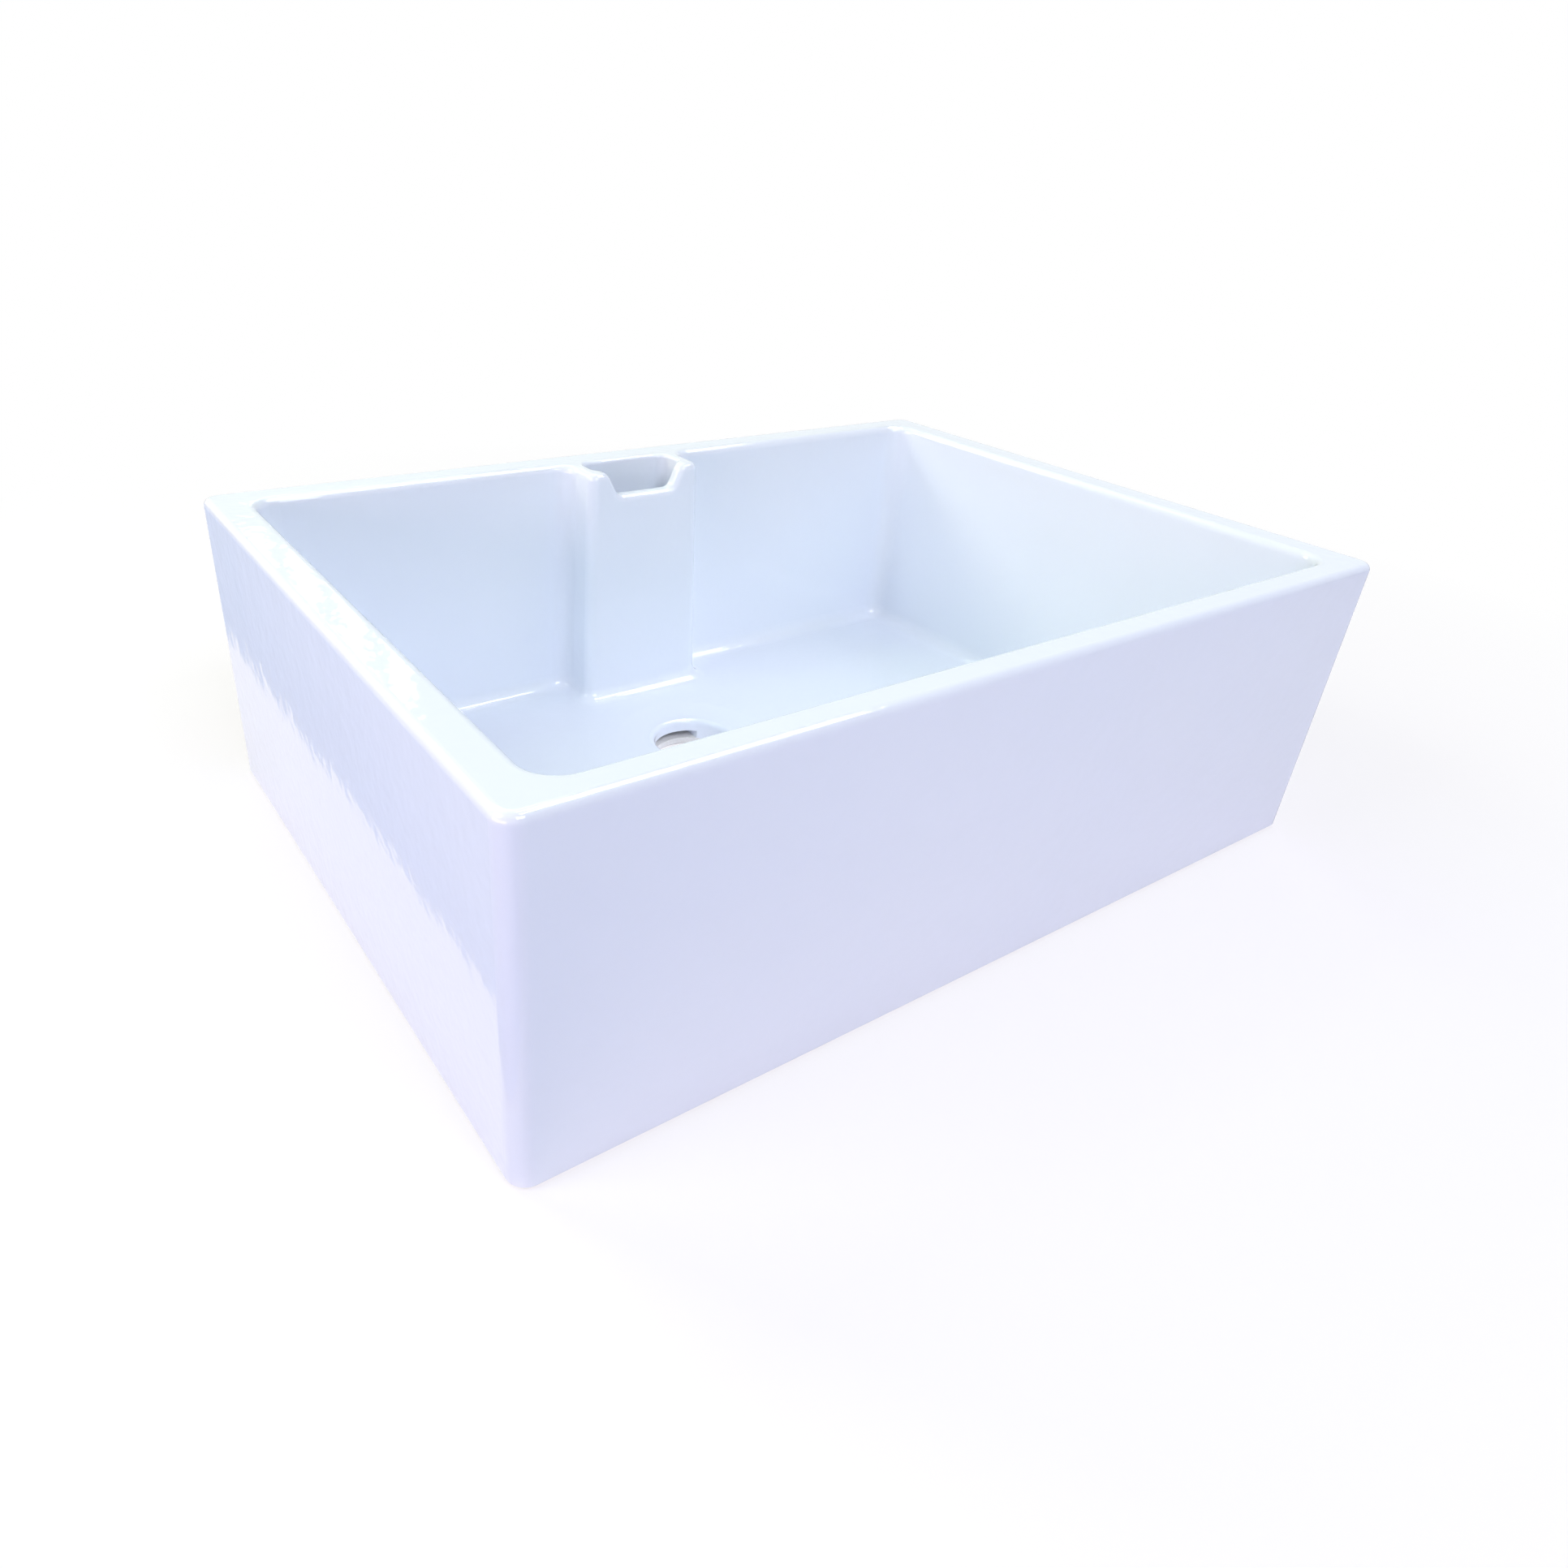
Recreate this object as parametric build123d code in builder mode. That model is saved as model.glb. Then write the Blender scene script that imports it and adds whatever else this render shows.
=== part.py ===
from build123d import *
import math
import os

# Fireclay butler sink: a single bowl with a flat apron front, an overflow box
# with a weir notch let into the back wall, and a cover tile that closes the
# overflow duct under the floor. The castings are luted together before firing.
#
# Millimetres, +Z up. The origin is the middle of the underside, the apron front
# faces -Y and the width runs along X.

# ------------------------------------------------------------------ bowl
width = 640.0
depth = 455.0
height = 208.0
side_wall = 26.5
front_wall = 21.0
back_wall = 25.5
wall_draft = 1.5             # degrees by which the bowl narrows downwards
outer_corner_radius = 11.0
inner_corner_radius = 18.0
rim_outer_radius = 5.0
rim_inner_radius = 5.5
foot_bevel = 3.0             # sponged off before firing
floor_radius = 12.0          # cove between the floor and the walls

# ------------------------------------------------------------------ waste hole
waste_x = -20.0
waste_from_back = 157.5      # back face to the middle of the hole
waste_bore = 60.0            # clears the body of a slotted 1 1/2 inch waste
waste_lip_height = 22.0      # underside to the lip
waste_lip_radius = 4.0
waste_lip_land = 1.0         # level ring between the rolled lip and the dish
dish_radius = 58.0           # shallow dish round the hole
dish_slope = 5.0             # degrees
dish_blend = 45.0
bore_chamfer = 1.5           # at the underside

# ------------------------------------------------------------------ overflow box
box_x = -9.0
box_projection = 36.0        # out of the back wall, at the rim
box_corner_radius = 8.0
box_root_radius = 14.0       # cove between the box and the back wall
channel_corner_radius = 8.0
channel_edge_radius = 3.0
brim_land = 2.0              # level strip on top of the box's walls, between the two rolls
notch_drop = 18.0            # rim to the lip of the weir
notch_width = 48.0           # along the lip
notch_slope = 64.0           # degrees from level
notch_top_radius = 9.0
notch_foot_radius = 7.0
seat_depth = 6.0             # how deep the box's flanges are let into the bowl
seat_margin = 4.0            # flange left outside the coves

# ------------------------------------------------------------------ duct and cover tile
duct_width = 40.0
duct_height = 6.5
duct_end_gap = 2.0           # duct's ends to the channel's walls
cover_thickness = 6.0
cover_ledge = 8.0            # bearing each side of the duct
cover_corner_radius = 6.0

# ------------------------------------------------------------------ worked out
back_face = depth / 2
wall_face = back_face - back_wall
mouth_width = width - 2 * side_wall
mouth_depth = depth - front_wall - back_wall
waste_y = back_face - waste_from_back
bore_radius = waste_bore / 2

bend_run = dish_blend * math.tan(math.radians(dish_slope / 2))
dish_foot = bore_radius + waste_lip_radius + waste_lip_land + bend_run
floor_height = waste_lip_height + (dish_radius - dish_foot) * math.tan(math.radians(dish_slope))
floor_reach = math.hypot(width, depth)
draft_shift = height * math.tan(math.radians(wall_draft))

# the notch's sloping sides run out level where the channel's side walls stand
lip_height = height - notch_drop
notch_half = notch_width / 2 + notch_drop / math.tan(math.radians(notch_slope))
channel_half = notch_half + notch_top_radius * math.tan(math.radians(notch_slope / 2))
box_wall = rim_inner_radius + brim_land + channel_edge_radius
box_width = 2 * (channel_half + box_wall)
box_face = wall_face - box_projection
channel_front = box_face + box_wall
channel_depth = wall_face - channel_front

seat_half = box_width / 2 + box_root_radius + draft_shift + seat_margin
seat_front = box_face - draft_shift - floor_radius - seat_margin
seat_back = wall_face + seat_depth
seat_floor = floor_height - seat_depth

duct_back = wall_face - duct_end_gap
riser_front = channel_front + duct_end_gap
duct_top = cover_thickness + duct_height

waste_axis = Axis((waste_x, waste_y, 0), (0, 0, 1))
waste_section = Plane((waste_x, waste_y, 0), x_dir=(1, 0, 0), z_dir=(0, -1, 0))
rim_plane = Plane.XY.offset(height)
seat_plane = Plane.XY.offset(seat_floor)
notch_origin = (box_x, channel_front + channel_depth / 2, lip_height)
notch_plane = Plane(notch_origin, x_dir=(1, 0, 0), z_dir=(0, -1, 0))


def box_uprights(space):
    """The edges of the overflow box that run up the back wall."""
    return (space.edges()
            .filter_by_position(Axis.X, box_x - seat_half, box_x + seat_half)
            .filter_by_position(Axis.Z, height / 4, height * 3 / 4)
            .sort_by(Axis.Y))


# ------------------------------------------------------------------ space inside the bowl
with BuildPart() as bowl_space:
    with BuildSketch(rim_plane):
        with Locations((0, wall_face - mouth_depth / 2)):
            RectangleRounded(mouth_width, mouth_depth, inner_corner_radius)
    extrude(amount=-height, taper=wall_draft)
    # the overflow box stands in the space and narrows upwards by the same draft
    with BuildSketch():
        with Locations((box_x, wall_face)):
            Rectangle(box_width + 2 * draft_shift, 2 * (box_projection + draft_shift))
    extrude(amount=height, taper=wall_draft, mode=Mode.SUBTRACT)
    fillet(box_uprights(bowl_space)[:2], box_corner_radius)
    fillet(box_uprights(bowl_space)[-2:], box_root_radius)
    # the level floor falls to a shallow dish round the waste hole
    with BuildSketch(waste_section) as floor_line:
        with BuildLine():
            Polyline(
                (0, -height),
                (0, waste_lip_height),
                (dish_foot, waste_lip_height),
                (dish_radius, floor_height),
                (floor_reach, floor_height),
                (floor_reach, -height),
                close=True,
            )
        make_face()
        bends = floor_line.vertices().filter_by_position(Axis.X, dish_foot, dish_radius)
        fillet(bends, dish_blend)
    revolve(axis=waste_axis, mode=Mode.SUBTRACT)
    floor = bowl_space.faces().filter_by(Plane.XY).sort_by(Axis.Z)[-2]
    fillet(floor.outer_wire().edges(), floor_radius)

# ------------------------------------------------------------------ the glazed form, before it is parted
with BuildPart() as form:
    with BuildSketch():
        RectangleRounded(width, depth, outer_corner_radius)
    extrude(amount=height)
    fillet(form.edges().group_by(Axis.Z)[-1], rim_outer_radius)
    chamfer(form.edges().group_by(Axis.Z)[0], foot_bevel)
    add(bowl_space.part, mode=Mode.SUBTRACT)
    with BuildSketch():
        with Locations((waste_x, waste_y)):
            Circle(bore_radius)
    extrude(amount=height, mode=Mode.SUBTRACT)
    # channel down the inside of the overflow box
    with BuildSketch(seat_plane):
        with Locations((box_x, channel_front + channel_depth / 2)):
            RectangleRounded(2 * channel_half, channel_depth, channel_corner_radius)
    extrude(amount=height, mode=Mode.SUBTRACT)
    # weir notch through the front of the box, cut from inside the channel
    with BuildSketch(notch_plane):
        with BuildLine():
            brim = FilletPolyline(
                (-box_width, notch_drop),
                (-notch_half, notch_drop),
                (-notch_width / 2, 0),
                (notch_width / 2, 0),
                (notch_half, notch_drop),
                (box_width, notch_drop),
                radius=[notch_top_radius, notch_foot_radius, notch_foot_radius, notch_top_radius],
            )
            Polyline(brim @ 1, (box_width, height), (-box_width, height), brim @ 0)
        make_face()
    extrude(amount=channel_depth / 2 + box_wall + draft_shift, mode=Mode.SUBTRACT)
    # the roll of the lip's front edge runs on round the whole of the rim
    level_edges = form.edges().filter_by(Axis.X).sort_by_distance((box_x, box_face, lip_height))
    lip_front, lip_rear = level_edges[:2].sort_by(Axis.Y)
    fillet(lip_front, rim_inner_radius)
    fillet(lip_rear, channel_edge_radius)
    bore = form.faces().filter_by(GeomType.CYLINDER).sort_by_distance((waste_x, waste_y, 0))[0]
    fillet(bore.edges().filter_by(GeomType.CIRCLE).sort_by(Axis.Z)[-1], waste_lip_radius)
    bore = form.faces().filter_by(GeomType.CYLINDER).sort_by_distance((waste_x, waste_y, 0))[0]
    chamfer(bore.edges().filter_by(GeomType.CIRCLE).sort_by(Axis.Z)[0], bore_chamfer)

# ------------------------------------------------------------------ overflow box with its flanges
with BuildPart() as overflow_box:
    add(form.part)
    with BuildSketch(seat_plane):
        with Locations((box_x, (seat_front + seat_back) / 2)):
            Rectangle(2 * seat_half, seat_back - seat_front)
    extrude(amount=height, mode=Mode.INTERSECT)

# ------------------------------------------------------------------ cover tile of the duct
with BuildPart() as duct_cover:
    add(form.part)
    with BuildSketch() as cover_outline:
        with Locations((waste_x, (waste_y + duct_back + cover_ledge) / 2)):
            Rectangle(duct_width + 2 * cover_ledge, duct_back + cover_ledge - waste_y)
        fillet(cover_outline.vertices().group_by(Axis.Y)[-1], cover_corner_radius)
    extrude(amount=cover_thickness, mode=Mode.INTERSECT)

# ------------------------------------------------------------------ bowl
with BuildPart() as bowl:
    add(form.part)
    # seat that the overflow box is luted into
    with BuildSketch(seat_plane):
        with Locations((box_x, (seat_front + seat_back) / 2)):
            Rectangle(2 * seat_half, seat_back - seat_front)
    extrude(amount=height, mode=Mode.SUBTRACT)
    # rebate of the cover tile, and the duct above it
    add(cover_outline.sketch)
    extrude(amount=cover_thickness, mode=Mode.SUBTRACT)
    with BuildSketch(Plane.XY.offset(cover_thickness)):
        with Locations((waste_x, (waste_y + duct_back) / 2)):
            Rectangle(duct_width, duct_back - waste_y)
    extrude(amount=duct_height, mode=Mode.SUBTRACT)
    # riser from the duct into the foot of the channel
    with BuildSketch(Plane.XY.offset(duct_top)):
        with Locations((waste_x, (riser_front + duct_back) / 2)):
            Rectangle(duct_width, duct_back - riser_front)
    extrude(amount=seat_floor - duct_top, mode=Mode.SUBTRACT)

os.makedirs("parts", exist_ok=True)
for name, piece in (("bowl", bowl), ("overflow_box", overflow_box), ("duct_cover", duct_cover)):
    piece.part.label = name
    export_step(piece.part, f"parts/{name}.step")
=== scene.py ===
import math
import bpy
from mathutils import Matrix, Vector


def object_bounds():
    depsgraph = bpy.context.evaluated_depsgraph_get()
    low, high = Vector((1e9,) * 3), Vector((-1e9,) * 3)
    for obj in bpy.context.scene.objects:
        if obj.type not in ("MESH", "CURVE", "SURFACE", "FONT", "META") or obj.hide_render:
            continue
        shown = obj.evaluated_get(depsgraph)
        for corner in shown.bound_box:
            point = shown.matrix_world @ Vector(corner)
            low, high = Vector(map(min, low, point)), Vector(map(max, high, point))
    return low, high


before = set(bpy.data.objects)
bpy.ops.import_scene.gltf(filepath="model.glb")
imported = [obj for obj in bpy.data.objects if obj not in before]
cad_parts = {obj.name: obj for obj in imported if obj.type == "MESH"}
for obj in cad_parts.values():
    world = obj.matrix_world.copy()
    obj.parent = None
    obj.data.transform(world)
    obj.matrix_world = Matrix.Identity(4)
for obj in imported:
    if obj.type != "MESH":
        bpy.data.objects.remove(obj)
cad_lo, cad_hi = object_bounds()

# ---------------------------------------------------------------- bowl
# The main casting of the sink: fireclay, pressed in a plaster mould, dipped in white glaze and fired once.
# It stands on its underside in the kiln, and its back goes against a wall, so both are wiped free of glaze.


def linear(hex_colour):
    """An sRGB hex colour as linear RGBA."""
    parts = [int(hex_colour[i:i + 2], 16) / 255 for i in (0, 2, 4)]
    return [c / 12.92 if c <= 0.04045 else ((c + 0.055) / 1.055) ** 2.4 for c in parts] + [1.0]


def add_node(tree, kind, settings=None, **links):
    """Adds a node, sets its properties and unlinked sockets, and links sockets given by name or number."""
    node = tree.nodes.new(kind)
    for key, value in (settings or {}).items():
        if isinstance(key, int) or key in node.inputs:
            node.inputs[key].default_value = value
        else:
            setattr(node, key, value)
    for key, source in links.items():
        key = int(key[1:]) if key[0] == "_" else key.replace("_", " ")
        tree.links.new(source.outputs[0] if hasattr(source, "outputs") else source, node.inputs[key])
    return node


glaze_white = "EAEFF8"       # a tin white with a cold cast
glaze_thick = "E7EDF8"       # where it lies thicker, in slow patches
glaze_ior = 1.52
glaze_roughness = 0.05
glaze_patch_mm = 110.0
glaze_run_mm = 70.0          # length of the long waves that the glaze froze in
glaze_run_depth = 0.0005
glaze_ripple_mm = 9.0
glaze_ripple_depth = 0.00015

clay_buff = "ECE5DD"
clay_sand = "DCD0C6"         # where it is rougher and holds more dust
clay_roughness = 0.75
clay_patch_mm = 55.0         # sponge and mould marks
clay_patch_weight = 1.6      # in the tone, against 1 for the grain
all_buff, all_sand = 0.95, 1.65        # of grain and patches together
clay_grain_mm = 1.6          # grog; real grains are half as wide, and would not show
clay_grain_depth = 0.00015
glaze_step = 3.0             # thickness of the coat at its edge, in depths of a grain

back_y = cad_hi[1]
rim_z = cad_hi[2]
back_skin = 0.0008           # what counts as the back lies within this of its plane
foot_strip = 0.0012          # how far up the glaze is wiped off the foot
ragged_mm = 26.0             # spacing of the tongues along the glaze's edge on the back
ragged_low, ragged_high = rim_z - 0.022, rim_z - 0.0035
ragged_from, ragged_to = 0.3, 0.7      # the noise that gives the lowest and the highest edge


def bare_clay(tree, place, pale, sandy):
    """The grain and the tone of fired clay that has no glaze."""
    grain = add_node(tree, "ShaderNodeTexNoise", {"Scale": 1000 / clay_grain_mm, "Detail": 2.0}, Vector=place)
    marks = add_node(tree, "ShaderNodeTexNoise", {"Scale": 1000 / clay_patch_mm, "Detail": 4.0}, Vector=place)
    both = add_node(tree, "ShaderNodeMath", {"operation": "MULTIPLY_ADD", 1: clay_patch_weight},
                    _0=marks, _2=grain)
    share = add_node(tree, "ShaderNodeMapRange", {"From Min": all_buff, "From Max": all_sand}, Value=both)
    tone = add_node(tree, "ShaderNodeMix", {"data_type": "RGBA", 6: linear(pale), 7: linear(sandy)}, _0=share)
    return grain, tone


def give_finish(name, material):
    """Puts a finish on one of the sink's castings."""
    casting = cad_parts[name]
    casting.data.materials.clear()
    casting.data.materials.append(material)


# a hard glassy coat, mirror-like at a low angle, with waves and ripples that bend what it mirrors;
# where it is wiped off, the clay is matt and sandy
glaze = bpy.data.materials.new("white_glaze_on_fireclay")
glaze.use_nodes = True
tree = glaze.node_tree
shader = tree.nodes["Principled BSDF"]
shader.inputs["IOR"].default_value = glaze_ior
place = add_node(tree, "ShaderNodeTexCoord").outputs["Object"]
xyz = add_node(tree, "ShaderNodeSeparateXYZ", Vector=place)

# the back is bare below a ragged line of glaze, and the foot is bare all round
tongues = add_node(tree, "ShaderNodeTexNoise", {"Scale": 1000 / ragged_mm, "Detail": 3.0}, Vector=place)
edge_height = add_node(tree, "ShaderNodeMapRange", {"From Min": ragged_from, "From Max": ragged_to,
                                                    "To Min": ragged_low, "To Max": ragged_high}, Value=tongues)
below_edge = add_node(tree, "ShaderNodeMath", {"operation": "LESS_THAN"}, _0=xyz.outputs["Z"], _1=edge_height)
on_back = add_node(tree, "ShaderNodeMath", {"operation": "GREATER_THAN", 1: back_y - back_skin},
                   _0=xyz.outputs["Y"])
bare_back = add_node(tree, "ShaderNodeMath", {"operation": "MULTIPLY"}, _0=below_edge, _1=on_back)
bare_foot = add_node(tree, "ShaderNodeMath", {"operation": "LESS_THAN", 1: foot_strip}, _0=xyz.outputs["Z"])
bare = add_node(tree, "ShaderNodeMath", {"operation": "MAXIMUM"}, _0=bare_back, _1=bare_foot)

patches = add_node(tree, "ShaderNodeTexNoise", {"Scale": 1000 / glaze_patch_mm, "Detail": 2.0}, Vector=place)
coat = add_node(tree, "ShaderNodeMix", {"data_type": "RGBA", 6: linear(glaze_white), 7: linear(glaze_thick)},
                _0=patches)
grain, clay_tone = bare_clay(tree, place, clay_buff, clay_sand)
colour = add_node(tree, "ShaderNodeMix", {"data_type": "RGBA"}, _0=bare, _6=coat.outputs[2],
                  _7=clay_tone.outputs[2])
tree.links.new(colour.outputs[2], shader.inputs["Base Color"])
roughness = add_node(tree, "ShaderNodeMapRange", {"To Min": glaze_roughness, "To Max": clay_roughness}, Value=bare)
tree.links.new(roughness.outputs[0], shader.inputs["Roughness"])

ripple = add_node(tree, "ShaderNodeTexNoise", {"Scale": 1000 / glaze_ripple_mm, "Detail": 1.0}, Vector=place)
fine = add_node(tree, "ShaderNodeBump", {"Strength": 1.0, "Distance": glaze_ripple_depth}, Height=ripple)
runs = add_node(tree, "ShaderNodeTexNoise", {"Scale": 1000 / glaze_run_mm, "Detail": 1.0}, Vector=place)
waves = add_node(tree, "ShaderNodeBump", {"Strength": 1.0, "Distance": glaze_run_depth}, Height=runs, Normal=fine)
# bare clay is grainy, and lies lower than the glaze by the coat's thickness
below = add_node(tree, "ShaderNodeMath", {"operation": "SUBTRACT", 1: glaze_step}, _0=grain)
sunk = add_node(tree, "ShaderNodeMath", {"operation": "MULTIPLY"}, _0=below, _1=bare)
surface = add_node(tree, "ShaderNodeBump", {"Strength": 1.0, "Distance": clay_grain_depth}, Height=sunk,
                   Normal=waves)
tree.links.new(surface.outputs[0], shader.inputs["Normal"])

give_finish("bowl", glaze)

# ---------------------------------------------------------------- overflow box
# A closed tube of the same clay with a weir notch in its top, cast by itself and luted into its seat in the bowl.
# The lute is sponged flush before the dip, so one coat of glaze runs over both.
give_finish("overflow_box", glaze)

# ---------------------------------------------------------------- cover tile of the duct
# A thin tile of fireclay, luted over the duct from below and left without glaze.
# It is flush with the underside, and its end shows as a pale grey step in the waste hole.
tile_buff = "EFEEEC"         # from another mix of clay, paler and greyer than the bowl's
tile_sand = "DEDBD7"
tile_roughness = 0.8
tile_grain_depth = 0.0002
tile_grain_strength = 0.6

# open, sandy and matt, with fine grog that gives it a speckle
clay = bpy.data.materials.new("bare_fireclay")
clay.use_nodes = True
tree = clay.node_tree
shader = tree.nodes["Principled BSDF"]
shader.inputs["Roughness"].default_value = tile_roughness
place = add_node(tree, "ShaderNodeTexCoord").outputs["Object"]
grain, clay_tone = bare_clay(tree, place, tile_buff, tile_sand)
tree.links.new(clay_tone.outputs[2], shader.inputs["Base Color"])
pits = add_node(tree, "ShaderNodeBump", {"Strength": tile_grain_strength, "Distance": tile_grain_depth},
                Height=grain)
tree.links.new(pits.outputs[0], shader.inputs["Normal"])

give_finish("duct_cover", clay)

# ---------------------------------------------------------------- floor
# A white board under the sink on pale ground: the glaze mirrors the board near the sink, and the ground beyond it.
# The camera sees both as white, and near the sink also the shadow on the board.
floor_half = 12.0
ground_tone = "A2B3D6"
board_tone = "FBF6FC"
sink_left = cad_lo[0]
board_left = sink_left - 0.05
board_edge = 0.002           # half the width over which its left edge fades
board_shade_left = sink_left - 0.002   # what lies to the right of this throws the board's full light on the sink
board_reach = 0.75           # from the middle of the sink to where the board ends on the other sides
board_fade = 0.1
foot_shade_left = sink_left - 0.032    # from here to the foot, the board's white fades in the mirror of the left side: painted shade at the foot
foot_shade_least = 0.1
shadow_near, shadow_far = 0.45, 1.1    # the shadow on the floor fades out between these distances
shadow_white = 0.6           # share of plain white in what the camera sees within the nearer one

mesh = bpy.data.meshes.new("floor")
mesh.from_pydata([(-floor_half, -floor_half, 0), (floor_half, -floor_half, 0), (floor_half, floor_half, 0),
                  (-floor_half, floor_half, 0)], [], [(0, 1, 2, 3)])
floor = bpy.data.objects.new("floor", mesh)
bpy.context.scene.collection.objects.link(floor)

paper = bpy.data.materials.new("white_board_on_ground")
paper.use_nodes = True
tree = paper.node_tree
tree.nodes.clear()
place = add_node(tree, "ShaderNodeTexCoord").outputs["Object"]
across = add_node(tree, "ShaderNodeSeparateXYZ", Vector=place).outputs["X"]
away = add_node(tree, "ShaderNodeVectorMath", {"operation": "LENGTH"}, _0=place).outputs["Value"]
path = add_node(tree, "ShaderNodeLightPath")
to_camera, in_mirror = path.outputs["Is Camera Ray"], path.outputs["Is Glossy Ray"]

near = add_node(tree, "ShaderNodeMapRange", {"From Min": board_reach, "From Max": board_reach + board_fade,
                                             "To Min": 1.0, "To Max": 0.0}, Value=away)
lit = add_node(tree, "ShaderNodeMath", {"operation": "GREATER_THAN", 1: board_shade_left}, _0=across)
bright = add_node(tree, "ShaderNodeMath", {"operation": "MULTIPLY"}, _0=near, _1=lit)
right = add_node(tree, "ShaderNodeMapRange", {"From Min": board_left - board_edge,
                                              "From Max": board_left + board_edge}, Value=across)
mirrored = add_node(tree, "ShaderNodeMath", {"operation": "MULTIPLY"}, _0=right, _1=in_mirror)
board = add_node(tree, "ShaderNodeMath", {"operation": "MAXIMUM"}, _0=bright, _1=mirrored)
pale = add_node(tree, "ShaderNodeMath", {"operation": "MAXIMUM"}, _0=board, _1=to_camera)
tone = add_node(tree, "ShaderNodeMix", {"data_type": "RGBA", 6: linear(ground_tone), 7: linear(board_tone)},
                _0=pale)
sheet = add_node(tree, "ShaderNodeBsdfDiffuse", Color=tone.outputs[2])

# the shadow keeps to the neighbourhood of the sink, so no far edge of the floor shows against the white
glow = add_node(tree, "ShaderNodeEmission", {"Color": (1, 1, 1, 1), "Strength": 1.0})
seen_white = add_node(tree, "ShaderNodeMapRange", {"From Min": shadow_near, "From Max": shadow_far,
                                                   "To Min": shadow_white, "To Max": 1.0}, Value=away)
camera_share = add_node(tree, "ShaderNodeMath", {"operation": "MULTIPLY"}, _0=to_camera, _1=seen_white)
# painted shade in the mirror: the board's white glow is turned down towards the left foot of the sink
foot_shade = add_node(tree, "ShaderNodeMapRange", {"From Min": foot_shade_left, "From Max": board_shade_left,
                                                   "To Min": 1.0, "To Max": foot_shade_least}, Value=across)
board_share = add_node(tree, "ShaderNodeMath", {"operation": "MULTIPLY"}, _0=mirrored, _1=foot_shade)
share = add_node(tree, "ShaderNodeMath", {"operation": "ADD"}, _0=camera_share, _1=board_share)
mix = add_node(tree, "ShaderNodeMixShader", _0=share, _1=sheet, _2=glow)
add_node(tree, "ShaderNodeOutputMaterial", Surface=mix)
mesh.materials.append(paper)

# ---------------------------------------------------------------- light
# A bright kitchen: windows behind the sink and on its left, pale walls and ceiling, each a soft lamp.
# Their powers and tints are fitted to the shading that the ware has in the photograph.
# The world is white where it is seen or mirrored, and lights the sink only faintly.
world_tone = "E2E2FA"
world_light = 0.02
lamp_aim = Vector((0, 0, 0.1))

world = bpy.data.worlds.new("white_room")
bpy.context.scene.world = world
world.use_nodes = True
tree = world.node_tree
tree.nodes.clear()
sky = add_node(tree, "ShaderNodeBackground", {"Color": linear(world_tone), "Strength": world_light})
white = add_node(tree, "ShaderNodeBackground", {"Color": (1, 1, 1, 1), "Strength": 1.0})
path = add_node(tree, "ShaderNodeLightPath")
seen = add_node(tree, "ShaderNodeMath", {"operation": "MAXIMUM"}, _0=path.outputs["Is Camera Ray"],
                _1=path.outputs["Is Glossy Ray"])
mix = add_node(tree, "ShaderNodeMixShader", _0=seen, _1=sky, _2=white)
add_node(tree, "ShaderNodeOutputWorld", Surface=mix)


def softbox(name, turn, rise, distance, size, power, hex_colour):
    """An area lamp that looks at the sink from a compass angle and an elevation in degrees."""
    lamp = bpy.data.lights.new(name, "AREA")
    lamp.shape = "RECTANGLE"
    lamp.size, lamp.size_y = size
    lamp.energy = power
    lamp.color = linear(hex_colour)[:3]
    box = bpy.data.objects.new(name, lamp)
    turn, rise = math.radians(turn), math.radians(rise)
    box.location = lamp_aim + distance * Vector((math.cos(rise) * math.cos(turn), math.cos(rise) * math.sin(turn),
                                                 math.sin(rise)))
    box.rotation_euler = (lamp_aim - box.location).to_track_quat("-Z", "Y").to_euler()
    bpy.context.scene.collection.objects.link(box)
    return box


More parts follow.
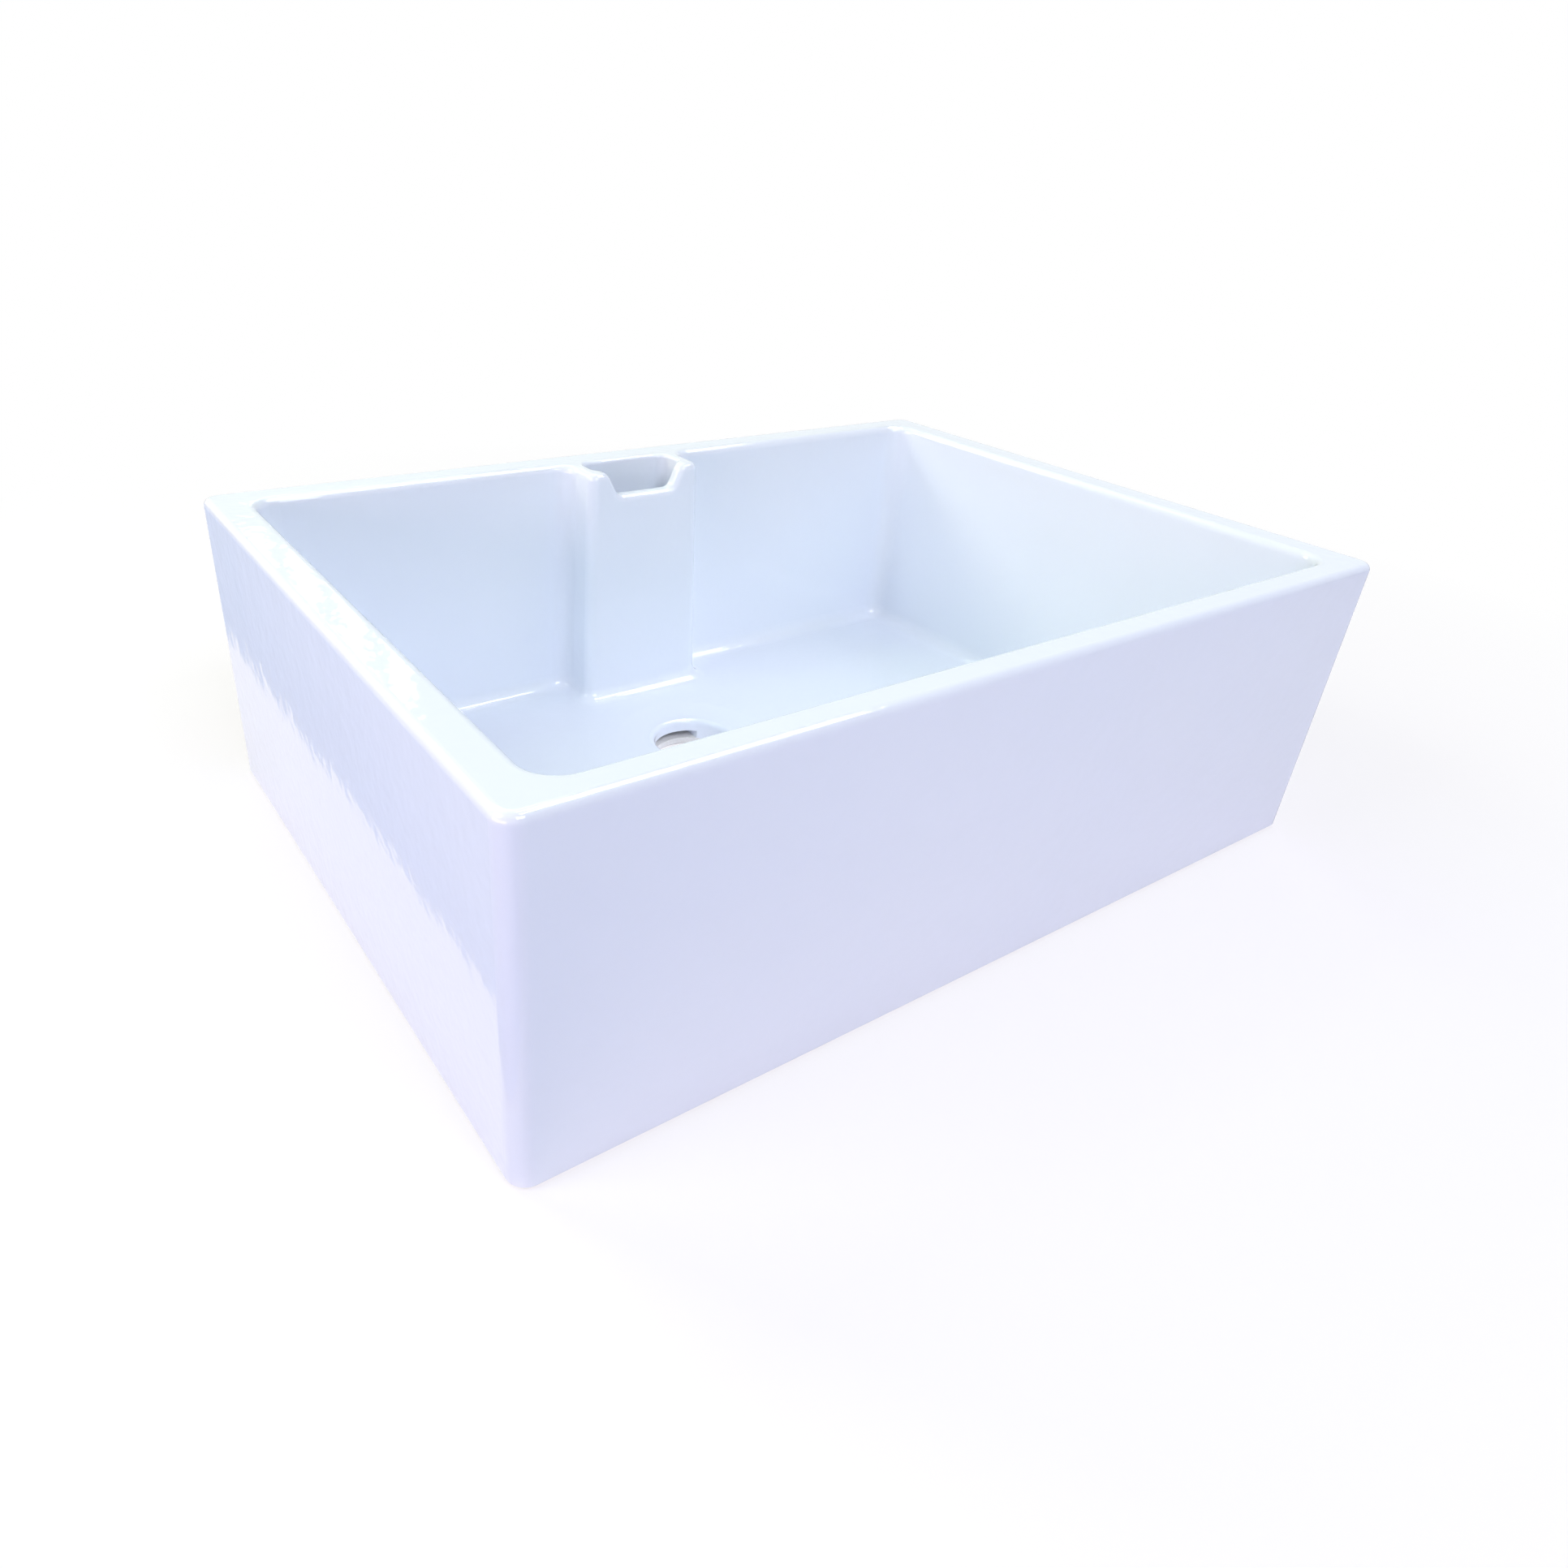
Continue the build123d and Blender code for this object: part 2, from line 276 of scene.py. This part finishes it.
softbox("window", 122, 32, 2.2, (0.7, 0.7), 14.4, "FFFFE2")
softbox("side_window", 172, 38, 2.2, (0.8, 0.8), 13.8, "F3FFFA")
softbox("left_wall", 190, 5, 2.4, (2.4, 1.0), 31.6, "FFE2EA")
softbox("ceiling_back", 90, 56, 2.2, (1.4, 0.8), 8.2, "E8FFDA")
softbox("ceiling_right", 315, 60, 2.2, (1.2, 1.0), 4.0, "DCFFD0")
# mirrored, this one would draw a white edge on the rolls of the front and the right rim
softbox("right_wall", 0, 48, 2.2, (2.4, 1.2), 18.4, "EEE8FF").visible_glossy = False
softbox("front_wall", 265, 46, 2.4, (1.2, 0.8), 30.0, "EEF0FF")

# the panes of a glazed door behind the sink, mirrored along the left rim
for pane, turn in enumerate((76.6, 79.2, 81.8, 84.4)):
    softbox(f"door_pane_{pane}", turn, 25, 3.0, (0.07, 0.62), 0.5, "DCFFFF")

# tubes under the ceiling draw thin lines on the rolls; they are only mirrored, and throw no light on the ware
tube_right, tube_height = 0.95, 2.4
for row, tube_back in enumerate((-0.55, 0.35)):
    tube = softbox(f"tube_{row}", 0, 90, tube_height, (0.12, 1.6), 40.0, "FFFFFF")
    tube.location = (tube_right, tube_back, tube_height)
    tube.rotation_euler = (0, 0, math.pi / 2)
    tube.visible_diffuse = False

# ---------------------------------------------------------------- camera
# Stands above the front left corner, where the fitted pinhole of the photograph stands.
camera_place = Vector((-457.92, -535.67, 427.18)) / 1000
camera_aim = Vector((-125.76, -78.35, 100.00)) / 1000
camera_roll = math.radians(3.482)      # the right-hand side of the frame is held high
focal_px = 1331.95
frame_px = 1932.0
axis_px = (853.82, 946.49)             # where the lens looks straight ahead

lens = bpy.data.cameras.new("camera")
lens.sensor_width = 36.0
lens.lens = focal_px / frame_px * lens.sensor_width
lens.shift_x = (frame_px / 2 - axis_px[0]) / frame_px
lens.shift_y = (axis_px[1] - frame_px / 2) / frame_px
lens.clip_start = 0.01
camera = bpy.data.objects.new("camera", lens)
level = (camera_aim - camera_place).to_track_quat("-Z", "Y").to_matrix().to_4x4()
camera.matrix_world = Matrix.Translation(camera_place) @ level @ Matrix.Rotation(camera_roll, 4, "Z")
bpy.context.scene.collection.objects.link(camera)
bpy.context.scene.camera = camera
bpy.context.scene.view_settings.view_transform = "Standard"
